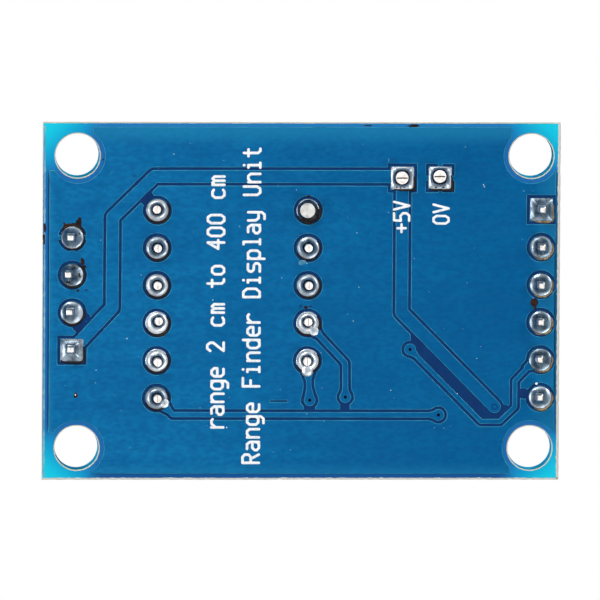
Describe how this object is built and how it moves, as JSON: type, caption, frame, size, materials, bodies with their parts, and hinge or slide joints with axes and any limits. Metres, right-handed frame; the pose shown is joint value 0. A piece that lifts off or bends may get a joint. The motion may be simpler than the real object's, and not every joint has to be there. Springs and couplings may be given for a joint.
{
  "type": "range display board",
  "caption": "Small display board for a plug-in ultrasonic distance sensor, with a pin socket, numeric display, programming header, screw terminal and corner mounting holes.",
  "frame": {"origin": "below the middle of the board, on the plane of the longest pins' tips", "axes": "+Z out of the component side, +Y to the sensor socket's edge, +X to the right of someone who reads the display; the power terminal's wire openings face -X"},
  "size_m": [0.0242, 0.0348, 0.0116],
  "materials": {
    "circuit_board": "glossy blue solder mask over copper",
    "display_shell": "satin",
    "light_guides": "milky",
    "display_carrier": "bare laminate",
    "tinned_pins": "tinned, with bright solder",
    "black_plastic": "moulded",
    "socket_contacts": "tinned brass",
    "terminal_plastic": "moulded",
    "terminal_steel": "zinc plated",
    "chip_plastic": "moulded",
    "resistor": "film",
    "capacitor": "fired",
    "led": "clear resin"
  },
  "bodies": {
    "board": {"circuit_board": "circuit_board", "controller": "chip_plastic", "core_capacitor": "capacitor", "display_carrier": "display_carrier", "display_light_guides": "light_guides", "display_pin_1": "tinned_pins", "display_pin_10": "tinned_pins", "display_pin_11": "tinned_pins", "display_pin_2": "tinned_pins", "display_pin_3": "tinned_pins", "display_pin_4": "tinned_pins", "display_pin_5": "tinned_pins", "display_pin_6": "tinned_pins", "display_pin_7": "tinned_pins", "display_pin_8": "tinned_pins", "display_pin_9": "tinned_pins", "display_shell": "display_shell", "header_housing": "black_plastic", "header_pin_1": "tinned_pins", "header_pin_2": "tinned_pins", "header_pin_3": "tinned_pins", "header_pin_4": "tinned_pins", "header_pin_5": "tinned_pins", "header_pin_6": "tinned_pins", "power_led": "led", "power_led_resistor": "resistor", "reset_capacitor": "capacitor", "reset_resistor": "resistor", "segment_resistor_1": "resistor", "segment_resistor_2": "resistor", "segment_resistor_3": "resistor", "segment_resistor_4": "resistor", "segment_resistor_5": "resistor", "segment_resistor_6": "resistor", "segment_resistor_7": "resistor", "segment_resistor_8": "resistor", "sensor_socket_contact_1": "socket_contacts", "sensor_socket_contact_2": "socket_contacts", "sensor_socket_contact_3": "socket_contacts", "sensor_socket_contact_4": "socket_contacts", "sensor_socket_housing": "black_plastic", "supply_capacitor": "capacitor", "terminal_contact_1": "tinned_pins", "terminal_contact_2": "tinned_pins", "terminal_housing": "terminal_plastic"},
    "screw_1": {"terminal_screw_1": "terminal_steel"},
    "clamp_1": {"terminal_clamp_1": "terminal_steel"},
    "screw_2": {"terminal_screw_2": "terminal_steel"},
    "clamp_2": {"terminal_clamp_2": "terminal_steel"}
  },
  "joints": [
    {"name": "screw_turn_1", "type": "hinge", "parent": "board", "child": "screw_1", "pos_m": [-0.00991, -0.0093, 0.0105], "axis": [0, 0, -1], "range_deg": [0, 1182.9]},
    {"name": "clamp_rise_1", "type": "slide", "parent": "board", "child": "clamp_1", "axis": [0, 0, 1], "range_m": [0, 0.00115]},
    {"name": "screw_turn_2", "type": "hinge", "parent": "board", "child": "screw_2", "pos_m": [-0.00991, -0.00676, 0.0105], "axis": [0, 0, -1], "range_deg": [0, 1182.9]},
    {"name": "clamp_rise_2", "type": "slide", "parent": "board", "child": "clamp_2", "axis": [0, 0, 1], "range_m": [0, 0.00115]}
  ],
  "couplings": [
    {"joint": "screw_turn_1", "follows": "clamp_rise_1", "rad_per_m": 17952},
    {"joint": "screw_turn_2", "follows": "clamp_rise_2", "rad_per_m": 17952}
  ]
}
